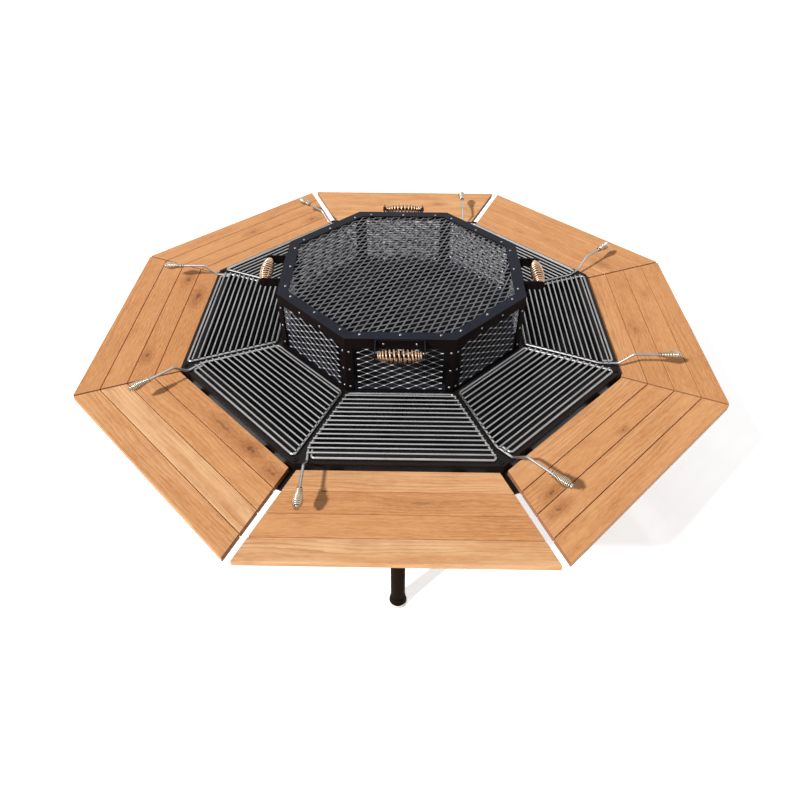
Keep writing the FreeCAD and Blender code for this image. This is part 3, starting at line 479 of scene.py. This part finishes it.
def coil_path(length, turns, lead, radius_at, crowd):
    """Middle line of a spring along +X: crowd draws its end turns together, lead is how far its ends run."""
    path = [Vector((0, 0, -radius_at(0)))]
    for step in range(LEAD_STEPS):
        share = step / LEAD_STEPS
        angle = math.pi / 2 * (share * share - 1)
        along = lead * (LEAD_START + (1 - LEAD_START) * share)
        path.append(Vector((along, radius_at(0) * math.cos(angle), radius_at(0) * math.sin(angle))))
    ending = [Vector((length - point.x, point.y, -point.z)) for point in path]
    count = turns * STEPS_PER_TURN
    for step in range(count + 1):
        share = step / count
        angle = 2 * math.pi * turns * share
        radius = radius_at(share)
        crowded = share - crowd * math.sin(2 * math.pi * share) / (2 * math.pi)
        along = lead + (length - 2 * lead) * crowded
        path.append(Vector((along, radius * math.cos(angle), radius * math.sin(angle))))
    return path + ending[::-1]


ROD_LOW, ROD_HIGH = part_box("handle_rod_front")
SPRING_LOW, SPRING_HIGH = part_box("handle_spring_front")
SPRING_LENGTH = SPRING_HIGH.x - SPRING_LOW.x
SPRING_WIRE = 0.005
SPRING_WIRE_SIDES = 14
SPRING_TURNS = 13
SPRING_LEAD = 1.2 * SPRING_WIRE
SPRING_CROWD = 0.38
SPRING_NARROW = 0.0090
SPRING_SWELL = 0.0095
GRIP_LOW, GRIP_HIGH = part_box("grate_grip_front")
GRIP_LENGTH = GRIP_HIGH.y - GRIP_LOW.y
GRIP_ALONG = -0.24937
GRIP_HEIGHT = 0.058
GRIP_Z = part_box("table_board_front")[1].z + GRIP_HEIGHT
GRIP_WIRE = 0.0036
GRIP_WIRE_SIDES = 12
GRIP_TURNS = 12
GRIP_LEAD = 1.3 * GRIP_WIRE
GRIP_NARROW = 0.0068
GRIP_SWELL = 0.0056


def barrel_radius(share):
    return SPRING_NARROW + SPRING_SWELL * math.sin(math.pi * share)


def drop_radius(share):
    return GRIP_NARROW + GRIP_SWELL * math.sin(math.pi * share * share)


barrel_place = Vector((SPRING_LOW.x, (ROD_LOW.y + ROD_HIGH.y) / 2, (ROD_LOW.z + ROD_HIGH.z) / 2))
barrel = [point + barrel_place
          for point in coil_path(SPRING_LENGTH, SPRING_TURNS, SPRING_LEAD, barrel_radius, SPRING_CROWD)]
drop = [Vector((point.y + GRIP_ALONG, GRIP_HIGH.y - point.x, point.z + GRIP_Z))
        for point in coil_path(GRIP_LENGTH, GRIP_TURNS, GRIP_LEAD, drop_radius, 0.0)]

for side in range(0, len(SIDES), 2):
    points, faces = swept(turned(barrel, side), SPRING_WIRE / 2, SPRING_WIRE_SIDES)
    spring = add_mesh("barrel_spring_" + SIDES[side], points, faces, BRONZE,
                      "spark_guard", "bronze_wire", smooth=True)
    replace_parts(spring, "handle_spring_" + SIDES[side])
for side in range(len(SIDES)):
    points, faces = swept(turned(drop, side), GRIP_WIRE / 2, GRIP_WIRE_SIDES)
    grip = add_mesh("teardrop_grip_" + SIDES[side], points, faces, PALE,
                    SIDES[side] + "_grill_grate", "grip_steel", smooth=True)
    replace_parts(grip, "grate_grip_" + SIDES[side])


# Expanded metal: slanted strands that meet in bonds, the wider places between the diamonds

MESH_LONG = 0.049
MESH_SHORT = 0.0228
STRAND = 0.0040
SIDE_STRAND = 0.0036
GAUGE = 0.0018
BOND_HALF = 0.0044
BOND_WIDTH = 0.0058
BOND_GAUGE = 1.1 * GAUGE
TOP_SLANT = math.radians(-6)
SIDE_SLANT = math.radians(38)
LATTICE_MARGIN = 2
CORNERS = ((-1, -1), (1, -1), (1, 1), (-1, 1))


def bar(points, faces, start, end, width, gauge, slant, place):
    """Slanted flat strand between two points of the sheet, added to points and faces."""
    way = (end - start).normalized()
    across = Vector((-way.y, way.x, 0))
    if across.y < 0:
        across = -across
    flat = across * math.cos(slant) + Vector((0, 0, math.sin(slant)))
    thick = way.cross(flat)
    first = len(points)
    for base in (start, end):
        for a, b in CORNERS:
            points.append(place(base + flat * (a * width / 2) + thick * (b * gauge / 2)))
    for a in range(4):
        b = (a + 1) % 4
        faces.append((first + a, first + b, first + 4 + b, first + 4 + a))
    faces.append((first + 3, first + 2, first + 1, first))
    faces.append((first + 4, first + 5, first + 6, first + 7))


def lattice(reach, inside):
    """Places of the bonds in a sheet of diamonds, long way along x, cut off by inside(x, y)."""
    columns = int(reach / (MESH_LONG / 2)) + LATTICE_MARGIN
    rows = int(reach / (MESH_SHORT / 2)) + LATTICE_MARGIN
    places = [Vector((column * MESH_LONG / 2, row * MESH_SHORT / 2, 0))
              for column in range(-columns, columns + 1) for row in range(-rows, rows + 1)
              if (column + row) % 2]
    return [bond for bond in places if inside(bond.x, bond.y)]


def add_strands(points, faces, reach, inside, width, slant, place):
    for bond in lattice(reach, inside):
        for rise in (-1, 1):
            far = bond + Vector((MESH_LONG / 2, rise * MESH_SHORT / 2, 0))
            if inside(far.x, far.y):
                bar(points, faces, bond, far, width, GAUGE, slant, place)


def add_bonds(points, faces, reach, inside, slant, place):
    half = Vector((BOND_HALF, 0, 0))
    for bond in lattice(reach, inside):
        bar(points, faces, bond - half, bond + half, BOND_WIDTH, BOND_GAUGE, slant, place)


def add_strip(points, faces, sections):
    """Closed flat border through sections of four corners each."""
    first = len(points)
    for section in sections:
        points.extend(section)
    count = len(sections)
    for index in range(count):
        for a in range(4):
            b = (a + 1) % 4
            here = first + index * 4
            there = first + (index + 1) % count * 4
            faces.append((here + a, here + b, there + b, there + a))


# Top sheet of the guard, its long diamonds turned by one sector

TOP_LOW, TOP_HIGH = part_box("guard_top_mesh")
TOP_MESH_DROP = 0.0001
TOP_MESH_Z = TOP_LOW.z - TOP_MESH_DROP
TOP_MESH_EDGE = TOP_HIGH.x
TOP_MESH_BORDER = 0.008
TOP_BOND_INSET = 0.0055
TOP_TURN = Matrix.Rotation(SECTOR, 3, "Z")


def in_sheet(x, y):
    limit = TOP_MESH_EDGE - TOP_BOND_INSET
    return all(x * math.cos(k * SECTOR) + y * math.sin(k * SECTOR) < limit for k in range(len(SIDES)))


def on_top(point):
    """Place of a point of the flat sheet in the guard's top."""
    return TOP_TURN @ Vector((point.x, point.y, 0)) + Vector((0, 0, TOP_MESH_Z + point.z))


def top_border():
    sections = []
    low = Vector((0, 0, TOP_LOW.z))
    high = Vector((0, 0, TOP_HIGH.z))
    for k in range(len(SIDES)):
        corner = Matrix.Rotation(k * SECTOR + SECTOR / 2, 3, "Z") @ Vector((0, -1, 0))
        outer = corner * (TOP_MESH_EDGE / HALF_COS)
        inner = corner * ((TOP_MESH_EDGE - TOP_MESH_BORDER) / HALF_COS)
        sections.append([inner + low, outer + low, outer + high, inner + high])
    return sections


points = []
faces = []
add_strands(points, faces, TOP_MESH_EDGE, in_sheet, STRAND, TOP_SLANT, on_top)
add_bonds(points, faces, TOP_MESH_EDGE, in_sheet, TOP_SLANT, on_top)
add_strip(points, faces, top_border())
top_mesh = add_mesh("guard_top_expanded_metal", points, faces, MESH_STEEL, "spark_guard", "mesh_steel")
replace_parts(top_mesh, "guard_top_mesh")


# Side panels of the guard: strands painted darker than the top sheet as shade, bonds painted bright as
# highlights, and black edges

PANEL_LOW, PANEL_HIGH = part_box("guard_side_mesh")
PANEL_SHEET = 0.002
PANEL_END_GAP = 0.001
STRAND_SETBACK = 0.0002

# Black edges: width beside the posts and height at top and bottom, and how far the bonds run in between
PANEL_EDGE = 0.0205
PANEL_RAIL = 0.005
BOND_OVERLAP = 0.003
BOND_INSET = 0.003

PANEL_FACE = PANEL_HIGH.x - PANEL_SHEET
PANEL_HALF = PANEL_FACE * HALF_TAN - PANEL_END_GAP
PANEL_MIDDLE = (PANEL_LOW.z + PANEL_HIGH.z) / 2
PANEL_HEIGHT = (PANEL_HIGH.z - PANEL_LOW.z) / 2


def in_panel(x, y):
    return abs(x) < PANEL_HALF - PANEL_EDGE + BOND_OVERLAP and abs(y) < PANEL_HEIGHT - BOND_INSET


def on_side(side):
    """Function that puts a point of the flat sheet into one side of the guard."""
    turn = Matrix.Rotation(side * SECTOR, 3, "Z")

    def place(point):
        return turn @ Vector((point.x, -PANEL_FACE + STRAND_SETBACK - point.z, PANEL_MIDDLE + point.y))

    return place


def panel_border(side):
    sections = []
    back = Vector((0, -PANEL_FACE, 0))
    front = Vector((0, -PANEL_FACE - PANEL_SHEET, 0))
    for x, z in CORNERS:
        outer = Vector((x * PANEL_HALF, 0, PANEL_MIDDLE + z * PANEL_HEIGHT))
        inner = Vector((x * (PANEL_HALF - PANEL_EDGE), 0, PANEL_MIDDLE + z * (PANEL_HEIGHT - PANEL_RAIL)))
        sections.append(turned([inner + back, outer + back, outer + front, inner + front], side))
    return sections


strands = ([], [])
bonds = ([], [])
edges = ([], [])
for side in range(len(SIDES)):
    add_strands(*strands, PANEL_HALF, in_panel, SIDE_STRAND, SIDE_SLANT, on_side(side))
    add_bonds(*bonds, PANEL_HALF, in_panel, SIDE_SLANT, on_side(side))
    add_strip(*edges, panel_border(side))
for name, shape, material, slot in (("guard_side_expanded_metal", strands, SHADED_SIDE_STEEL, "mesh_steel"),
                                    ("guard_side_mesh_bonds", bonds, BOND_HIGHLIGHT_STEEL, "mesh_steel"),
                                    ("guard_side_mesh_edges", edges, GUARD_BLACK, "black_steel")):
    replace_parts(add_mesh(name, *shape, material, "spark_guard", slot), "guard_side_mesh")


# Floor, light and camera

FLOOR_REACH = 20
FLOOR_SHADE = (0.92, 0.92, 0.92, 1)
FLOOR_ROUGHNESS = 0.9
FLOOR_SHEEN = 0.1
FLOOR_GLOW = 0.72
WHITE = (1, 1, 1, 1)
WORLD_SEEN = 1.0
WORLD_FILL = 0.20
SUN_POWER = 3.75
SUN_ANGLE = math.radians(4.0)
SUN_WAY = Vector((0.86, 0.79, -1.0))
SOFT_PLACE = Vector((-0.8, 0.8, 4.6))
SOFT_SIZE = 3.2
SOFT_POWER = 32
SOFT_AIM = Vector((0, 0, 0.7))
CAMERA_X = 0.019
CAMERA_Y = -1.946
CAMERA_ABOVE_TOP = 1.391
CAMERA_DOWN = math.radians(42.23)
CAMERA_YAW = math.radians(-0.683)
CAMERA_ROLL = math.radians(0.306)
CAMERA_LENS = 30.61
CAMERA_SENSOR = 36
SEEN_RAYS = ("Is Camera Ray", "Is Glossy Ray", "Is Transmission Ray")


def seen_rays(nodes, links):
    """1 for a ray from the camera, straight, by a mirror or through glass, and 0 for any other."""
    path = nodes.new("ShaderNodeLightPath")
    seen = path.outputs[SEEN_RAYS[0]]
    for kind in SEEN_RAYS[1:]:
        either = nodes.new("ShaderNodeMath")
        either.operation = "MAXIMUM"
        links.new(seen, either.inputs[0])
        links.new(path.outputs[kind], either.inputs[1])
        seen = either.outputs[0]
    return seen


def add_floor():
    """Pale floor that looks white and lights the part no more than a plain one."""
    mesh = bpy.data.meshes.new("floor")
    mesh.from_pydata([(x * FLOOR_REACH, y * FLOOR_REACH, 0) for x, y in CORNERS], [], [(0, 1, 2, 3)])
    floor = bpy.data.objects.new("floor", mesh)
    bpy.context.scene.collection.objects.link(floor)
    tree = Tree("pale_floor")
    glow = tree.math("MULTIPLY", seen_rays(tree.nodes, tree.links), FLOOR_GLOW)
    tree.set(tree.shader, {"Base Color": FLOOR_SHADE, "Roughness": FLOOR_ROUGHNESS,
                           "Specular IOR Level": FLOOR_SHEEN,
                           "Emission Color": WHITE, "Emission Strength": glow})
    mesh.materials.append(tree.material)


def add_world():
    """White surroundings that give little light."""
    world = bpy.data.worlds.new("studio")
    world.use_nodes = True
    bpy.context.scene.world = world
    nodes = world.node_tree.nodes
    links = world.node_tree.links
    background = nodes["Background"]
    background.inputs["Color"].default_value = WHITE
    strength = nodes.new("ShaderNodeMapRange")
    links.new(seen_rays(nodes, links), strength.inputs["Value"])
    strength.inputs["To Min"].default_value = WORLD_FILL
    strength.inputs["To Max"].default_value = WORLD_SEEN
    links.new(strength.outputs[0], background.inputs["Strength"])


def add_light(name, lamp, place, way):
    made = bpy.data.objects.new(name, lamp)
    made.location = place
    made.rotation_euler = way.to_track_quat("-Z", "Y").to_euler()
    bpy.context.scene.collection.objects.link(made)


def add_sun():
    """Key light whose direction comes from the shadows of the grate handles."""
    lamp = bpy.data.lights.new("key", "SUN")
    lamp.energy = SUN_POWER
    lamp.angle = SUN_ANGLE
    add_light("key", lamp, Vector((0, 0, 0)), SUN_WAY)


def add_soft_lamp():
    lamp = bpy.data.lights.new("soft", "AREA")
    lamp.shape = "SQUARE"
    lamp.size = SOFT_SIZE
    lamp.energy = SOFT_POWER
    add_light("soft", lamp, SOFT_PLACE, SOFT_AIM - SOFT_PLACE)


def add_camera():
    """Camera at the photograph's place, fitted to the eight-sided table top."""
    level = math.cos(CAMERA_DOWN)
    ahead = Vector((math.sin(CAMERA_YAW) * level, math.cos(CAMERA_YAW) * level, -math.sin(CAMERA_DOWN)))
    right = Vector((math.cos(CAMERA_YAW), -math.sin(CAMERA_YAW), 0))
    up = right.cross(ahead)
    rolled_right = right * math.cos(CAMERA_ROLL) + up * math.sin(CAMERA_ROLL)
    rolled_up = up * math.cos(CAMERA_ROLL) - right * math.sin(CAMERA_ROLL)
    lens = bpy.data.cameras.new("camera")
    lens.sensor_width = CAMERA_SENSOR
    lens.lens = CAMERA_LENS
    camera = bpy.data.objects.new("camera", lens)
    turn = Matrix((rolled_right, rolled_up, -ahead)).transposed().to_4x4()
    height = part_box("table_board_front")[1].z + CAMERA_ABOVE_TOP
    camera.matrix_world = Matrix.Translation((CAMERA_X, CAMERA_Y, height)) @ turn
    bpy.context.scene.collection.objects.link(camera)
    bpy.context.scene.camera = camera


add_floor()
add_world()
add_sun()
add_soft_lamp()
add_camera()
bpy.context.scene.view_settings.view_transform = "Standard"
